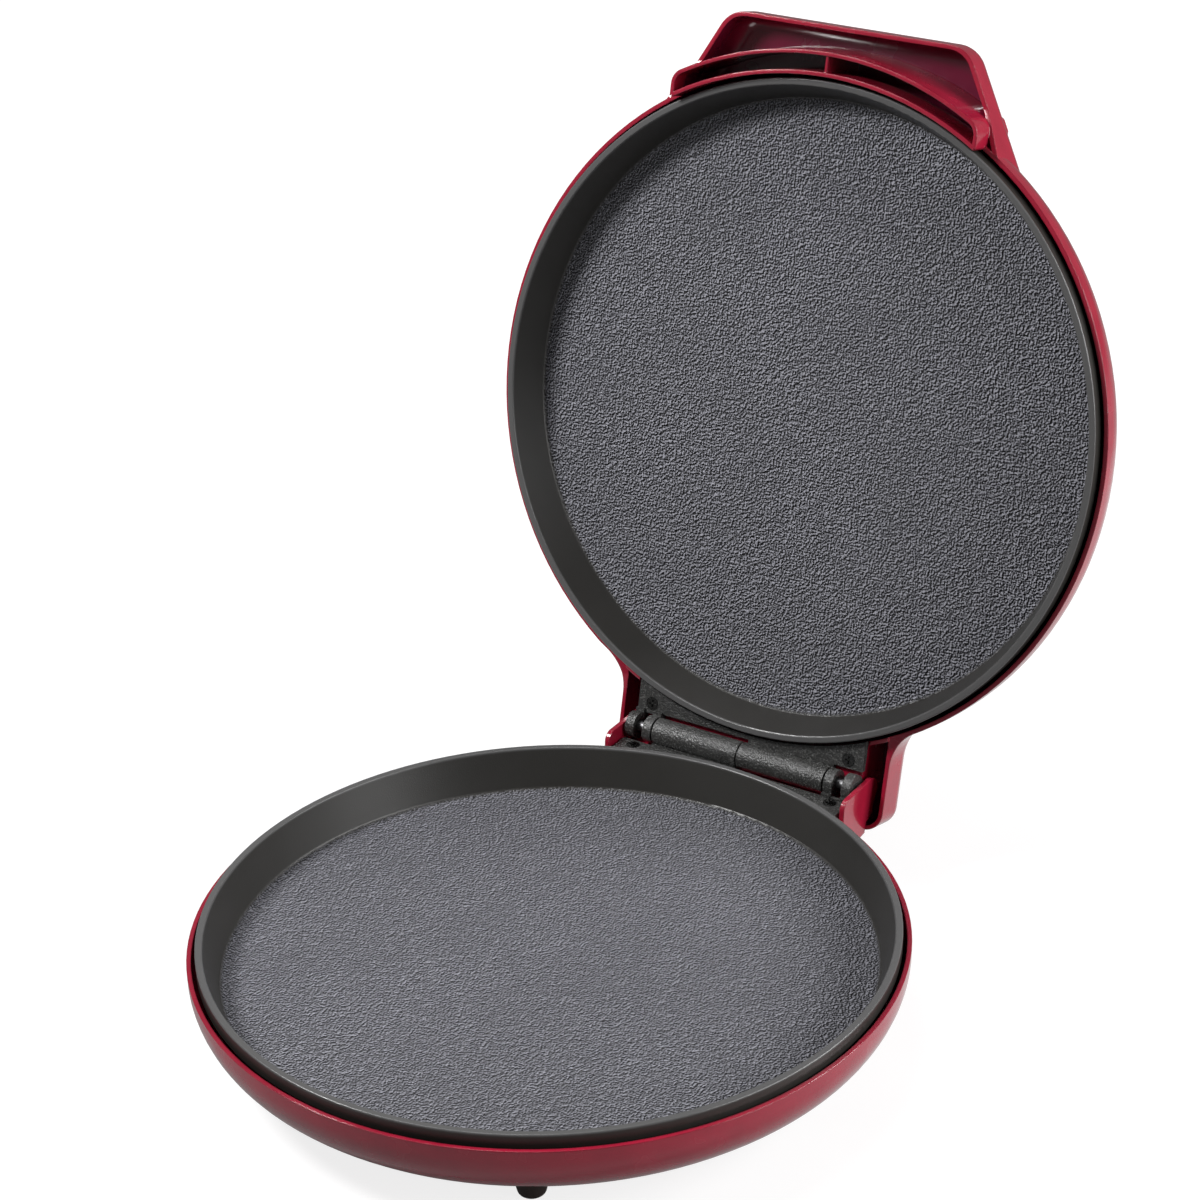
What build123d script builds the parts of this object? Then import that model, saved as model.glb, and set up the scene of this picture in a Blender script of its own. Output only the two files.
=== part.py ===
from build123d import *
from math import asin, atan2, cos, degrees, radians, sin, sqrt, tan
import os

# Electric pizza maker: a round base with a non-stick cooking pan, and a matching lid on a two-knuckle
# hinge, shown open and leaning back on its stop. Millimetres, +Z up, hinge axis along X, lid at the back
# (+Y). The origin is on the table under the centre of the base pan.
#
# Both halves are drawn in the same half frame: the plane of the pan's rim is depth 0, and depth grows
# away from the other half, so it points down in the base and up in the closed lid.

# Cooking plates
plate_radius = 160.0
plate_depth = 20.0
plate_wall = 2.5
floor_inset = 10.0
rim_width = 3.2
rim_height = 7.0
rim_round = 0.8
floor_fillet = 2.5

# Casings
casing_gap = 2.0
casing_wall = 2.1
rim_proud = 5.5
casing_straight = 4.1
casing_round = 27.0
wall_overlap = 1.4
wall_relief = 0.1
closing_gap = 0.6
seat_gap = 0.3

# Opening of the lid
open_angle = 104.6

# Hinge
hinge_setback = 11.5
barrel_radius = 6.8
barrel_length = 48.3
barrel_bore = 4.6
seam_gap = 0.8
pin_radius = 3.0
pin_clearance = 0.05
pin_grip = 9.0
ring_width = 4.7
ring_gap = 1.0
ring_spacing = 5.3
bracket_drop = 4.3
bracket_thickness = 3.0
bracket_clearance = 2.0
screw_head_radius = 3.2
screw_head_height = 1.8
screw_radius = 1.7
screw_length = 11.0
bracket_screw_x = 56.0
bracket_screw_back = 11.5

# Base lug behind the pan, with an ear beside each end of the hinge
ear_thickness = 2.5
ear_clearance = 1.5
ear_top = 2.5
ear_front = 18.5
ear_rear = 15.5
ear_corner = 5.0
lug_reach = 10.0
sweep_radius = 19.5
stop_gap = 0.3
stop_length = 5.5
lug_skin = 2.2

# Lid lug, which swings down behind the hinge
lug_half_width = 76.0
lug_behind = 22.0
lug_corner = 10.0
lug_flare = 24.0
lug_lip = 8.0
lug_top = 30.0
lug_edge_round = 9.0
lug_slope_start_inset = 14.1
lug_slope_end_inset = 28.1
box_front = 21.5
box_rear = 3.2
box_side = 2.0
box_web = 1.6

# Handle nose of the lid
nose_reach = 20.4
nose_half_width = 63.0
nose_flank_angle = 29.0
nose_corner = 15.0
nose_lip = 12.0
nose_top = 30.0
nose_edge_round = 8.0
lip_slope_start_inset = 6.1
lip_slope_end_inset = 25.1
plan_overlap = 64.1

# Air channel between the pan and the handle
channel_lip = 4.5
channel_offset = 10.0
channel_inset = 0.5
channel_half_width = 81.5
channel_wall = 1.8
channel_corner = 8.0
rib_thickness = 1.2
rib_setback = 1.0

# Feet
foot_height = 13.4
foot_top_radius = 9.0
foot_bottom_radius = 6.0
foot_round = 2.5
foot_stem_radius = 3.0
foot_stem_head = 4.2
foot_stem_height = 1.5
foot_front_x = 66.0
foot_front_inset = 49.1
foot_rear_x = 40.0
foot_rear_inset = 24.1

# Heating parts
element_inset = 38.0
element_tube = 3.25
element_gap = 0.2
element_tail_x = 22.0
element_tail_reach = 8.0
element_bend = 9.0
cold_pin_radius = 1.3
cold_pin_length = 4.0
shield_margin = 12.0
shield_thickness = 0.6
shield_hole = 30.0
shield_rim = 3.6
shield_notch_half = 34.0
stud_radius = 3.0
stud_circle = 72.0
stud_count = 3
stud_screw_head = 2.6
stud_screw_head_height = 1.2
stud_screw_radius = 1.2
stud_screw_length = 5.0
thermostat_radius = 7.5
thermostat_height = 6.6
strap_width = 9.0
strap_thickness = 0.7
fuse_radius = 2.0
fuse_length = 13.0
fuse_offset = 17.0

# Fixings of the plates to the casings
post_inset = 18.0
post_radius = 4.5
post_angle = 45.0
post_count = 4
post_screw_radius = 1.6
post_screw_head = 3.2
post_screw_head_height = 1.4
pilot_radius = 1.25

# Terminal block, cord gland and lamps
block_width = 32.0
block_length = 11.0
block_height = 8.0
block_inset = 33.1
gland_angle = 140.0
gland_radius = 4.6
gland_bore = 3.0
gland_flange = 6.2
gland_depth = 14.5
gland_flange_width = 3.0
lamp_x = 11.0
lamp_inset = 33.1
lamp_lens_radius = 3.5
lamp_crown = 1.2
lamp_body_radius = 3.0
lamp_body_height = 6.0

# Cover disc on top of the lid and vents under the base
cover_margin = 14.0
cover_thickness = 2.6
cover_pocket = 1.6
cover_seat = 7.0
cover_crown = 1.2
cover_recess = 0.8
cover_clearance = 0.5
cover_edge_round = 0.8
vent_count = 12
vent_circle = 52.0
vent_length = 16.0
vent_width = 3.0

# Internal leads
sleeve_radius = 1.3
sleeve_bend = 3.2
core_radius = 0.7
core_spacing = 0.75
core_bend = 3.0
lead_hole = 1.7
thermostat_lead_x = 11.0

# Sizes worked out from the ones above
floor_radius = plate_radius - floor_inset
casing_inner = plate_radius + casing_gap
casing_radius = casing_inner + casing_wall
casing_depth = rim_proud + casing_straight + casing_round
nose_front = casing_radius + nose_reach
lip_slope_start = casing_radius - lip_slope_start_inset
lip_slope_end = casing_radius - lip_slope_end_inset
lug_slope_start = casing_radius - lug_slope_start_inset
lug_slope_end = casing_radius - lug_slope_end_inset
channel_radius = casing_radius - channel_inset
foot_front_y = casing_radius - foot_front_inset
foot_rear_y = casing_radius - foot_rear_inset
block_y = casing_radius - block_inset
lamp_y = casing_radius - lamp_inset
element_radius = floor_radius - element_inset
element_tail_end = element_radius + element_tail_reach
shield_radius = element_radius + shield_margin
post_circle = element_radius - post_inset
cover_radius = post_circle + cover_margin
casing_floor = casing_depth - casing_wall
base_height = casing_depth + foot_height
hinge_y = plate_radius + hinge_setback
bracket_screw_y = hinge_y - bracket_screw_back
lug_rear = hinge_y + lug_behind
hinge_z = base_height + closing_gap / 2
axis_depth = -closing_gap / 2
plate_back = plate_depth + plate_wall
bracket_bottom = bracket_drop + bracket_thickness
shelf_depth = bracket_bottom + axis_depth
inner_ring_x = barrel_length + ring_gap
outer_ring_x = inner_ring_x + ring_width + ring_spacing
hinge_half = outer_ring_x + ring_width
ear_inner_x = hinge_half + ear_clearance
ear_outer_x = ear_inner_x + ear_thickness
box_half = hinge_half - 1.0
element_depth = plate_back + element_gap + element_tube
shield_depth = element_depth + element_tube + seat_gap
shield_outer = shield_depth + shield_thickness
cover_floor = casing_depth - cover_recess
cover_skin = cover_floor - casing_wall
cover_seat_radius = cover_radius + cover_clearance
lead_depth = (shield_outer + cover_skin) / 2
far = 2 * casing_radius
plan_root = casing_radius - plan_overlap


def rod(radius, length, x=0.0, y=0.0, z=0.0):
    """An upright cylinder whose lower face is at z."""
    return Pos(x, y, z) * extrude(Circle(radius), length)


def shaft(radius, x0, x1):
    """A cylinder along X, centred on the X axis."""
    return Pos(x0, 0, 0) * (Rot(0, 90, 0) * extrude(Circle(radius), x1 - x0))


def block(x0, x1, y0, y1, z0, z1):
    """A box between two corners."""
    middle = Pos((x0 + x1) / 2, (y0 + y1) / 2, (z0 + z1) / 2)
    return middle * Box(x1 - x0, y1 - y0, z1 - z0)


def side_prism(points, x0, x1):
    """A solid between two x values with a side outline of y and height."""
    return extrude(Plane.YZ.offset(x0) * make_face(Polyline(*points, close=True)), x1 - x0)


def turned(points):
    """A solid turned about Z from a closed outline of radius and height."""
    return revolve(Plane.XZ * make_face(Polyline(*points, close=True)), Axis.Z)


def crown(radius, low, rise):
    """A domed profile from the edge of a disc up to its centre, on a sphere about the axis."""
    sphere = (radius ** 2 + rise ** 2) / (2 * rise)
    turn = asin(radius / sphere) / 2
    middle = (sphere * sin(turn), low + rise - sphere + sphere * cos(turn))
    return ThreePointArc((radius, low), middle, (0, low + rise))


def polar(radius, angle):
    """The x and y of a point on a circle, with the angle in degrees."""
    return radius * cos(radians(angle)), radius * sin(radians(angle))


def in_base(shape):
    """Place a half-frame solid in the base, where depth points down."""
    return Pos(0, 0, base_height) * mirror(shape, about=Plane.XY)


def swing_open(shape):
    """Turn a solid of the closed lid about the hinge to where the open lid rests."""
    return shape.rotate(Axis((0, hinge_y, hinge_z), (1, 0, 0)), -open_angle)


def in_lid(shape):
    """Place a half-frame solid in the lid, closed first and then swung open."""
    return swing_open(Pos(0, 0, base_height + closing_gap) * shape)


def post_places():
    """Where the plate's fixing posts stand."""
    return [polar(post_circle, post_angle + 360.0 / post_count * i) for i in range(post_count)]


def stud_places():
    """Where the heat shield's studs stand."""
    return [polar(stud_circle, 30.0 + 360.0 / stud_count * i) for i in range(stud_count)]


def foot_places():
    """Where the feet stand, the rear two far enough back for the open lid not to tip the base."""
    return [(-foot_front_x, -foot_front_y), (foot_front_x, -foot_front_y),
            (-foot_rear_x, foot_rear_y), (foot_rear_x, foot_rear_y)]


# Cooking plate: cast pan with a thick rim, posts for its fixing screws and studs for the heat shield
def cooking_plate(post_end):
    rim_inner = plate_radius - rim_width
    slope = (rim_inner - floor_radius) / plate_depth
    wall_outer = rim_inner - slope * rim_height + plate_wall
    floor_outer = floor_radius + plate_wall
    pan = turned([
        (0, plate_depth),
        (floor_radius, plate_depth),
        (rim_inner, 0),
        (plate_radius, 0),
        (plate_radius, rim_height),
        (wall_outer, rim_height),
        (floor_outer, plate_back),
        (0, plate_back),
    ])
    rings = pan.edges().filter_by(GeomType.CIRCLE)
    pan = fillet([e for e in rings if abs(e.center().Z) < 0.01], rim_round)
    rings = pan.edges().filter_by(GeomType.CIRCLE)
    pan = fillet([e for e in rings if abs(e.center().Z - plate_depth) < 0.01], floor_fillet)
    root = plate_back - plate_wall / 2
    for x, y in post_places():
        pan += rod(post_radius, post_end - root, x, y, root)
        pan -= rod(pilot_radius, screw_length, x, y, post_end - screw_length)
    for x, y in stud_places():
        pan += rod(stud_radius, shield_depth - root, x, y, root)
        pan -= rod(stud_screw_radius, stud_screw_length, x, y, shield_depth - stud_screw_length)
    return pan


# Tubular heating element: an open ring whose tails turn out to the rear, each with a cold pin
def heating_element():
    bend_radius = element_radius + element_bend
    tail_angle = degrees(asin((element_tail_x + element_bend) / bend_radius))
    join_x, join_y = polar(element_radius, 90.0 - tail_angle)
    bend_x, bend_y = polar(bend_radius, 90.0 - tail_angle)
    middle = radians(180.0 + (180.0 + 90.0 - tail_angle - 180.0) / 2)
    mid_x = bend_x + element_bend * cos(middle)
    mid_y = bend_y + element_bend * sin(middle)
    corner_x = bend_x - element_bend
    path = Wire([
        Line((-corner_x, element_tail_end), (-corner_x, bend_y)),
        ThreePointArc((-corner_x, bend_y), (-mid_x, mid_y), (-join_x, join_y)),
        ThreePointArc((-join_x, join_y), (0, -element_radius), (join_x, join_y)),
        ThreePointArc((join_x, join_y), (mid_x, mid_y), (corner_x, bend_y)),
        Line((corner_x, bend_y), (corner_x, element_tail_end)),
    ])
    tube = sweep(Plane(origin=path @ 0, z_dir=path % 0) * Circle(element_tube), path=path)
    for x in (-corner_x, corner_x):
        pin = Rot(-90, 0, 0) * extrude(Circle(cold_pin_radius), cold_pin_length + 1)
        tube += Pos(x, element_tail_end - 1, 0) * pin
    return Pos(0, 0, element_depth) * tube


# Heat shield: a thin dish under the element, open in the middle and notched for the element's tails
def heat_shield():
    dish = extrude(Circle(shield_radius) - Circle(shield_hole), shield_thickness)
    rim = Circle(shield_radius) - Circle(shield_radius - shield_thickness)
    dish += Pos(0, 0, -shield_rim) * extrude(rim, shield_rim + shield_thickness / 2)
    dish -= block(-shield_notch_half, shield_notch_half, shield_radius - 12, shield_radius + 1,
                  -shield_rim - 1, shield_thickness + 1)
    for x, y in stud_places():
        dish -= rod(stud_screw_radius + 0.2, shield_thickness + 2, x, y, -1)
    for x, y in post_places():
        dish -= rod(post_radius + 1.0, shield_thickness + 2, x, y, -1)
    return Pos(0, 0, shield_depth) * dish


def shield_screws():
    """Pan-head screws that hold the shield to the plate's studs."""
    screws = []
    for x, y in stud_places():
        shank = rod(stud_screw_radius - 0.05, stud_screw_length, x, y, shield_outer - stud_screw_length)
        head = rod(stud_screw_head, stud_screw_head_height, x, y, shield_outer)
        slot = block(x - stud_screw_head, x + stud_screw_head, y - 0.3, y + 0.3,
                     shield_outer + stud_screw_head_height - 0.5, shield_outer + stud_screw_head_height + 1)
        screws.append(shank + head - slot)
    return Compound(children=screws)


def thermostat():
    """Snap-disc thermostat with a seating collar and two tabs."""
    face = plate_back + 0.1
    body = rod(thermostat_radius, thermostat_height, 0, 0, face)
    collar = rod(thermostat_radius + 1.0, 1.5, 0, 0, face)
    reach = thermostat_radius + 4.0
    tabs = block(-reach, reach, -1.6, 1.6, face + thermostat_height - 1.3, face + thermostat_height - 0.5)
    return body + collar + tabs


def thermostat_strap():
    """Sprung strap that presses the thermostat to the plate from the edges of the shield's hole."""
    under = plate_back + 0.1 + thermostat_height
    inner = thermostat_radius
    outer = shield_hole - 4.0
    end = shield_hole + 6.0
    strap = block(-strap_width / 2, strap_width / 2, -inner - 1, inner + 1, under, under + strap_thickness)
    for side in (-1, 1):
        low = [(side * inner, under), (side * outer, shield_outer), (side * end, shield_outer)]
        high = [(y, z + strap_thickness) for y, z in reversed(low)]
        strap += side_prism(low + high, -strap_width / 2, strap_width / 2)
    return strap


def thermal_fuse():
    """Fuse with a saddle that seats it on the plate's underside."""
    half = fuse_length / 2
    can = Pos(0, fuse_offset, plate_back + fuse_radius + 0.8) * shaft(fuse_radius, -half, half)
    saddle = block(-3, 3, fuse_offset - 4, fuse_offset + 4, plate_back, plate_back + 1.4)
    return can + saddle


def terminal_places():
    """Where the three terminals stand in the block."""
    return [i * block_width / 3 for i in (-1, 0, 1)]


def terminal_block():
    """Three-way terminal block that stands on the casing's floor."""
    top = casing_floor - block_height
    body = block(-block_width / 2, block_width / 2, block_y - block_length / 2, block_y + block_length / 2,
                 top, casing_floor)
    for x in terminal_places():
        body -= rod(2.0, 3.0, x, block_y, top - 1)
    for x in (-block_width / 6, block_width / 6):
        body -= block(x - 0.6, x + 0.6, block_y - block_length, block_y + block_length, top - 1, top + 3)
    return body


def terminal_screws():
    screws = []
    seat = casing_floor - block_height + 2.0
    for x in terminal_places():
        head = rod(1.7, 1.4, x, block_y, seat - 1.4)
        screws.append(head - block(x - 2, x + 2, block_y - 0.3, block_y + 0.3, seat - 2, seat - 0.9))
    return Compound(children=screws)


# Casings
def bowl(radius, rounding, depth, start):
    """A round solid with a straight wall from start and a rounded edge at its closed face."""
    straight_end = depth - rounding
    reach = rounding * cos(radians(45))
    outline = make_face([
        Line((0, start), (radius, start)),
        Line((radius, start), (radius, straight_end)),
        ThreePointArc((radius, straight_end), (radius - rounding + reach, straight_end + reach),
                      (radius - rounding, depth)),
        Line((radius - rounding, depth), (0, depth)),
        Line((0, depth), (0, start)),
    ])
    return revolve(Plane.XZ * outline, Axis.Z)


def inset_bowl(inset, start):
    """The casing's round form, moved inward by the inset."""
    return bowl(casing_radius - inset, casing_round - inset, casing_depth - inset, start)


def bowl_level(radius, inset):
    """Depth of the bowl's closed face at a radius, moved inward by the inset."""
    flat = casing_radius - casing_round
    if radius <= flat:
        return casing_depth - inset
    return casing_depth - casing_round + sqrt((casing_round - inset) ** 2 - (radius - flat) ** 2)


def hinge_pocket():
    """Space over the shelf for the bracket and for the other half's turning rings."""
    room = block(-ear_inner_x, ear_inner_x, hinge_y - 51.5, hinge_y, -5, shelf_depth)
    return room - rod(casing_inner - 0.4, 40, 0, 0, -20)


def bracket_bosses():
    """Bosses behind the shelf that take the bracket's screws."""
    places = (-bracket_screw_x, bracket_screw_x)
    return [rod(4.0, 9.0, x, bracket_screw_y, shelf_depth) for x in places]


def bracket_pilots():
    places = (-bracket_screw_x, bracket_screw_x)
    return [rod(screw_radius + 0.05, screw_length, x, bracket_screw_y, shelf_depth - 1) for x in places]


def stop_points():
    """Upper and lower end of the base's stop face in y and depth, square to the open lid's lip."""
    turn = radians(open_angle)
    away = lug_lip + closing_gap / 2 - stop_gap
    start = sqrt(sweep_radius ** 2 - away ** 2)
    points = []
    for along in (start, start + stop_length):
        y = away * sin(turn) + along * cos(turn)
        up = away * cos(turn) - along * sin(turn)
        points.append((hinge_y + y, axis_depth - up))
    return points


def base_lug(inset):
    """Lug behind the pan, with a rounded underside that the lid's lug swings round."""
    front = hinge_y - 50.0
    reach = hinge_y + lug_reach
    corner = sqrt(sweep_radius ** 2 - lug_reach ** 2)
    heel, toe = stop_points()
    heel_turn = atan2(heel[1] - axis_depth, heel[0] - hinge_y)
    middle = (atan2(corner, lug_reach) + heel_turn) / 2
    side = make_face([
        Line((front, shelf_depth), (reach, shelf_depth)),
        Line((reach, shelf_depth), (reach, corner + axis_depth)),
        ThreePointArc((reach, corner + axis_depth),
                      (hinge_y + sweep_radius * cos(middle), axis_depth + sweep_radius * sin(middle)), heel),
        Line(heel, toe),
        Line(toe, (front, casing_floor - 4)),
        Line((front, casing_floor - 4), (front, shelf_depth)),
    ])
    if inset:
        side = offset(side, -inset)
    return extrude(Plane.YZ * side, ear_outer_x - inset, both=True)


def ear(x0, x1):
    """Upright ear beside one end of the hinge."""
    front = hinge_y - ear_front
    rear = hinge_y + ear_rear
    side = make_face(Polyline((front - 1.5, 2 * shelf_depth), (front, -ear_top), (rear, -ear_top),
                              (rear - 1.0, shelf_depth - 1), (hinge_y + lug_reach, 2 * shelf_depth - 1),
                              (hinge_y, 2 * shelf_depth), close=True))
    front_corner = [v for v in side.vertices() if v.Y < -ear_top + 0.1 and v.X < hinge_y]
    side = fillet(front_corner, ear_corner)
    rear_corners = [v for v in side.vertices() if v.X > hinge_y + lug_reach + 1]
    side = fillet(rear_corners, ear_corner + 1)
    return extrude(Plane.YZ.offset(x0) * side, x1 - x0)


def base_casing():
    shell = inset_bowl(0.0, rim_proud) + base_lug(0.0)
    shell -= inset_bowl(casing_wall, rim_proud - 1)
    shell -= base_lug(lug_skin)
    shell += ear(ear_inner_x, ear_outer_x)
    shell += ear(-ear_outer_x, -ear_inner_x)
    shell -= hinge_pocket()
    shell += bracket_bosses()
    shell -= bracket_pilots()
    shell -= rod(lead_hole, 8, -element_tail_x, hinge_y, shelf_depth - 1)
    for x, y in post_places():
        shell -= rod(post_screw_radius + 0.3, 10, x, y, casing_floor - 5)
    for x, y in foot_places():
        shell -= rod(foot_stem_radius + 0.2, 10, x, y, casing_floor - 5)
    for i in range(vent_count):
        slot = Pos(vent_circle, 0, casing_floor - 1) * extrude(SlotOverall(vent_length, vent_width), 5)
        shell -= Rot(0, 0, 360.0 / vent_count * i) * slot
    shell -= radial(shaft(gland_radius + 0.1, casing_radius - 12, casing_radius + 5))
    return shell


def radial(shape):
    """Turn a solid drawn along X to where the cord gland goes through the base's wall."""
    return Pos(0, 0, gland_depth) * (Rot(0, 0, gland_angle) * shape)


def cord_gland():
    """Grommet that grips both faces of the base's side wall, with a bore for a cord."""
    outer = radial(shaft(gland_flange, casing_radius - 8, casing_radius + gland_flange_width))
    outer -= inset_bowl(0.0, -20)
    neck = radial(shaft(gland_radius, casing_radius - 6, casing_radius + 1))
    inner = radial(shaft(gland_flange - 0.6, casing_radius - 7, casing_radius)) & inset_bowl(casing_wall, -20)
    bore = radial(shaft(gland_bore, casing_radius - 20, casing_radius + 20))
    return outer + neck + inner - bore


def base_feet():
    """Four moulded feet, each with a stem and a head that snaps through the casing's floor."""
    feet = []
    outside = inset_bowl(0.0, -20)
    for x, y in foot_places():
        out = sqrt(x ** 2 + y ** 2)
        top = bowl_level(out + foot_top_radius, 0.0) - 0.5
        head_top = bowl_level(out + foot_stem_head, casing_wall) - foot_stem_height
        ends = [Circle(foot_top_radius), Pos(0, 0, foot_height) * Circle(foot_bottom_radius)]
        cone = loft(ends)
        tread = [e for e in cone.edges().filter_by(GeomType.CIRCLE) if e.center().Z > foot_height - 0.01]
        cone = Pos(x, y, casing_depth) * fillet(tread, foot_round)
        cone += rod(foot_top_radius, casing_depth - top, x, y, top)
        cone -= outside
        cone += rod(foot_stem_radius, casing_depth + 1 - head_top, x, y, head_top)
        head = rod(foot_stem_head, casing_depth - head_top, x, y, head_top)
        cone += head & inset_bowl(casing_wall, 0.0)
        feet.append(cone)
    return Compound(children=feet)


def post_screws(seat):
    """Screws from outside the casing into the plate's posts."""
    screws = []
    for x, y in post_places():
        shank = rod(pilot_radius - 0.05, screw_length, x, y, seat - screw_length)
        head = rod(post_screw_head, post_screw_head_height, x, y, seat)
        top = seat + post_screw_head_height
        head -= block(x - 2.0, x + 2.0, y - 0.4, y + 0.4, top - 0.7, top + 1)
        head -= block(x - 0.4, x + 0.4, y - 2.0, y + 2.0, top - 0.7, top + 1)
        screws.append(shank + head)
    return Compound(children=screws)


# Hinge bracket, drawn round the hinge axis as it lies in the base
def hinge_bracket():
    rear = -barrel_radius - 0.6
    body = block(-hinge_half, hinge_half, -24, rear, -bracket_bottom, -bracket_drop)
    body -= rod(plate_radius + bracket_clearance, 40, 0, -hinge_y, -20)
    body += block(-barrel_length, -seam_gap / 2, rear - 1, -2.0, -bracket_bottom, -bracket_drop)
    body += shaft(barrel_radius, -barrel_length, -seam_gap / 2)
    for x0 in (inner_ring_x, outer_ring_x):
        body += shaft(barrel_radius, x0, x0 + ring_width)
        body += block(x0, x0 + ring_width, rear - 1, -1.0, -bracket_bottom, -2.5)
    body += block(inner_ring_x + 1, outer_ring_x + 1, rear - 0.5, rear + 1.0, -bracket_bottom, -3.6)
    body -= shaft(barrel_bore, -barrel_length + pin_grip, 5)
    body -= shaft(pin_radius + pin_clearance, -barrel_length - 5, -barrel_length + pin_grip + 1)
    body -= shaft(pin_radius + pin_clearance, inner_ring_x - 1, hinge_half + 1)
    body -= rod(lead_hole, 10, -element_tail_x, 0, -12)
    for x in (-bracket_screw_x, bracket_screw_x):
        y = bracket_screw_y - hinge_y
        body -= rod(screw_radius + 0.25, 10, x, y, -12)
        body -= rod(screw_head_radius + 0.25, 5, x, y, -bracket_drop - screw_head_height)
    return body


def bracket_screws():
    """Cross-head screws whose heads sit in the bracket's wells."""
    screws = []
    y = bracket_screw_y - hinge_y
    seat = -bracket_drop - screw_head_height
    top = -bracket_drop - 0.2
    for x in (-bracket_screw_x, bracket_screw_x):
        head = rod(screw_head_radius, top - seat, x, y, seat)
        head -= block(x - 2.0, x + 2.0, y - 0.45, y + 0.45, top - 0.9, top + 1)
        head -= block(x - 0.45, x + 0.45, y - 2.0, y + 2.0, top - 0.9, top + 1)
        screws.append(head + rod(screw_radius, screw_length - 2.0, x, y, seat - screw_length + 2.0))
    return Compound(children=screws)


def hinge_pins():
    """A plain pin at each end, through the two rings and into the end of the other half's barrel."""
    start = barrel_length - pin_grip + 1.0
    end = hinge_half + 0.5
    return Compound(children=[shaft(pin_radius, start, end), shaft(pin_radius, -end, -start)])


def at_hinge(shape):
    return Pos(0, hinge_y, hinge_z) * shape


def at_hinge_lid(shape):
    return swing_open(Pos(0, hinge_y, hinge_z) * (Rot(0, 180, 0) * shape))


# Lid casing: the same bowl with a hollow handle nose, an air channel and a lug round the hinge
def nose_plan():
    spread = (nose_front - plan_root) * tan(radians(nose_flank_angle))
    plan = make_face(Polyline((-nose_half_width, -nose_front), (nose_half_width, -nose_front),
                              (nose_half_width + spread, -plan_root), (-nose_half_width - spread, -plan_root),
                              close=True))
    return fillet([v for v in plan.vertices() if v.Y < -nose_front + 0.01], nose_corner)


def lug_plan():
    plan = make_face(Polyline((-lug_half_width, lug_rear), (lug_half_width, lug_rear),
                              (lug_half_width, plan_root), (-lug_half_width, plan_root), close=True))
    return fillet([v for v in plan.vertices() if v.Y > lug_rear - 0.01], lug_corner)


def lies_on_bowl(edge):
    """Whether an edge runs along the bowl's side, where a nose or lug meets it."""
    straight_end = casing_depth - casing_round
    if edge.geom_type == GeomType.CIRCLE:
        return False
    for part in (0.0, 0.25, 0.5, 0.75, 1.0):
        point = edge @ part
        side = casing_radius
        if point.Z > straight_end:
            side -= casing_round - sqrt(max(0.0, casing_round ** 2 - (point.Z - straight_end) ** 2))
        if abs(sqrt(point.X ** 2 + point.Y ** 2) - side) > 0.05:
            return False
    return abs(edge.center().X) > lug_half_width - lug_corner


def lid_form(inset, start):
    """The lid's outer form without its rim details, or its hollow when moved inward by the inset."""
    form = inset_bowl(inset, start)
    for plan, top in ((nose_plan(), nose_top), (lug_plan(), lug_top)):
        if inset:
            plan = offset(plan, -inset)
        form += Pos(0, 0, start) * extrude(plan, top - inset - start)
    if not inset:
        creases = [e for e in form.edges() if lies_on_bowl(e) and e.center().Y > 0
                   and abs(e.center().Z - start) > 0.01]
        form = fillet(creases, lug_flare)
    for top, rounding, side in ((nose_top, nose_edge_round, -1), (lug_top, lug_edge_round, 1)):
        level = top - inset
        rim = [e for e in form.edges() if all(abs((e @ u).Z - level) < 0.02 for u in (0.0, 0.5, 1.0))
               and e.center().Y * side > plan_root]
        outer = [e for e in rim if e.geom_type != GeomType.CIRCLE or e.length < lug_half_width]
        form = fillet(outer, rounding - inset)
    return form


def channel_walls(height):
    """Curved outer wall of the air channel with its two ends and the rib, open towards the bowl."""
    reach = plan_root
    middle = Pos(0, -reach - reach / 2)
    outer = Pos(0, -channel_offset) * Circle(channel_radius)
    outer &= middle * Rectangle(2 * channel_half_width, reach)
    outer = fillet([v for v in outer.vertices() if v.Y < -reach - 1], channel_corner)
    inner_half = channel_half_width - channel_wall
    inner = Pos(0, -channel_offset) * Circle(channel_radius - channel_wall)
    inner &= middle * Rectangle(2 * inner_half, reach + 10)
    inner = fillet([v for v in inner.vertices() if v.Y < -reach - 1], channel_corner - channel_wall)
    walls = extrude(outer - inner, height)
    rib = inner & (middle * Rectangle(rib_thickness, reach + 10))
    walls += Pos(0, 0, rib_setback) * extrude(rib, height - rib_setback)
    return Pos(0, 0, -channel_lip) * walls - inset_bowl(casing_wall / 2, -20)


def inside_lid(plan, top):
    """Prism that ends within the wall of the nose or lug, for walls that have to join it."""
    start = -channel_lip - 1
    return Pos(0, 0, start) * extrude(offset(plan, -wall_overlap), top - wall_overlap - start)


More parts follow.
